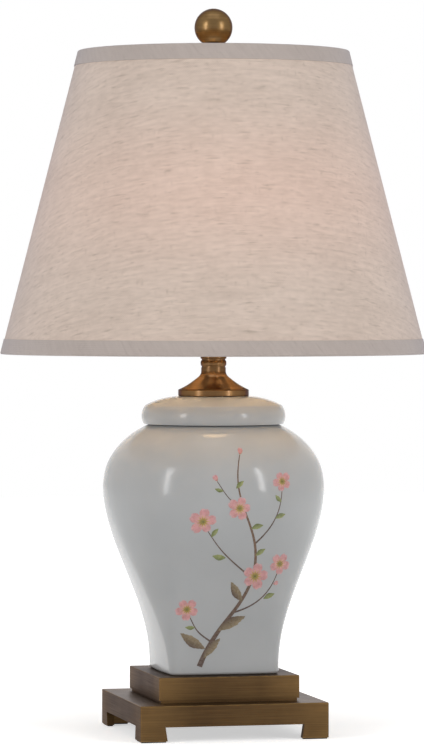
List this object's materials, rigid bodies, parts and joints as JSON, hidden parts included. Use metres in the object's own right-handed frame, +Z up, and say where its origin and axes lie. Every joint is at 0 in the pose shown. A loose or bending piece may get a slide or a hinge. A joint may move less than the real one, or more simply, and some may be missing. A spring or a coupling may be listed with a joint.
{
  "type": "table lamp",
  "caption": "Table lamp with a lidded white porcelain jar on a stepped brass base with block feet, brass neck, linen cone shade on a harp and a ball finial.",
  "frame": {"origin": "on the table under the lamp's upright axis, at the underside of the foot pads", "axes": "+Z up along the lamp's axis, -Y towards the front of the base, +X to the right seen from the front"},
  "size_m": [0.4013, 0.4014, 0.6805],
  "materials": {
    "antique_brass": "brushed, aged to a warm brown",
    "porcelain": "white, clear glaze",
    "linen": "plain woven linen with cross slubs",
    "linen_trim": "folded bias band of the same linen",
    "shade_liner": "white laminate",
    "wire": "plated wire",
    "bright_brass": "plated, polished",
    "steel": "zinc plated",
    "ballast": "painted plate",
    "felt": "dark felt",
    "board": "fibreboard",
    "seal": "thin pad",
    "fibre": "insulating fibre",
    "phenolic": "moulded",
    "knob": "moulded",
    "bulb_glass": "frosted"
  },
  "bodies": {
    "base": {"foot_pads": "felt", "lower_plinth": "antique_brass", "bottom_felt": "felt", "bottom_board": "board", "ballast_plate": "ballast", "rod_washer": "steel", "rod_lock_washer": "steel", "rod_nut": "bright_brass", "threaded_rod": "steel", "cord_bushing": "phenolic", "cord_bushing_nut": "phenolic", "upper_tier": "antique_brass", "jar_pad": "seal", "jar": "porcelain", "lid_ring": "seal", "lid": "porcelain", "neck": "antique_brass", "neck_collar": "antique_brass", "harp_saddle": "bright_brass", "harp": "wire", "harp_stud": "bright_brass", "socket_cap": "bright_brass", "socket_set_screw": "steel", "socket_shell": "bright_brass", "socket_liner": "fibre", "socket_body": "phenolic", "terminal_screws": "bright_brass", "socket_thread": "bright_brass", "centre_contact": "bright_brass"},
    "shade": {"shade_liner": "shade_liner", "shade_cover": "linen", "shade_top_trim": "linen_trim", "shade_bottom_trim": "linen_trim", "shade_spider": "wire", "shade_bottom_ring": "wire"},
    "finial_stem": {"finial_stem": "antique_brass"},
    "finial_ball": {"finial_ball": "antique_brass"},
    "knob": {"switch_knob": "knob", "switch_shaft": "steel"},
    "sleeve_left": {"harp_sleeve_left": "bright_brass"},
    "sleeve_right": {"harp_sleeve_right": "bright_brass"},
    "bulb_cap": {"bulb_cap": "bright_brass"},
    "bulb_glass": {"bulb_glass": "bulb_glass"}
  },
  "joints": [
    {"name": "shade_turn", "type": "hinge", "parent": "base", "child": "shade", "pos_m": [0, 0, 0.626], "axis": [0, 0, 1], "continuous": true},
    {"name": "finial_rise", "type": "slide", "parent": "base", "child": "finial_stem", "axis": [0, 0, 1], "range_m": [0, 0.0142]},
    {"name": "finial_turn", "type": "hinge", "parent": "finial_stem", "child": "finial_ball", "pos_m": [0, 0, 0.6626], "axis": [0, 0, 1], "range_deg": [0, 5400]},
    {"name": "knob_turn", "type": "hinge", "parent": "base", "child": "knob", "pos_m": [0, -0.0287, 0.3866], "axis": [0, -1, 0], "continuous": true},
    {"name": "sleeve_left_lift", "type": "slide", "parent": "base", "child": "sleeve_left", "axis": [0, 0, 1], "range_m": [0, 0.014]},
    {"name": "sleeve_right_lift", "type": "slide", "parent": "base", "child": "sleeve_right", "axis": [0, 0, 1], "range_m": [0, 0.014]},
    {"name": "bulb_rise", "type": "slide", "parent": "base", "child": "bulb_cap", "axis": [0, 0, 1], "range_m": [0, 0.0237]},
    {"name": "bulb_turn", "type": "hinge", "parent": "bulb_cap", "child": "bulb_glass", "pos_m": [0, 0, 0.4743], "axis": [0, 0, 1], "range_deg": [0, 2340]}
  ],
  "couplings": [
    {"joint": "finial_rise", "follows": "finial_turn", "m_per_rad": 0.00014972},
    {"joint": "bulb_rise", "follows": "bulb_turn", "m_per_rad": 0.00057757}
  ]
}
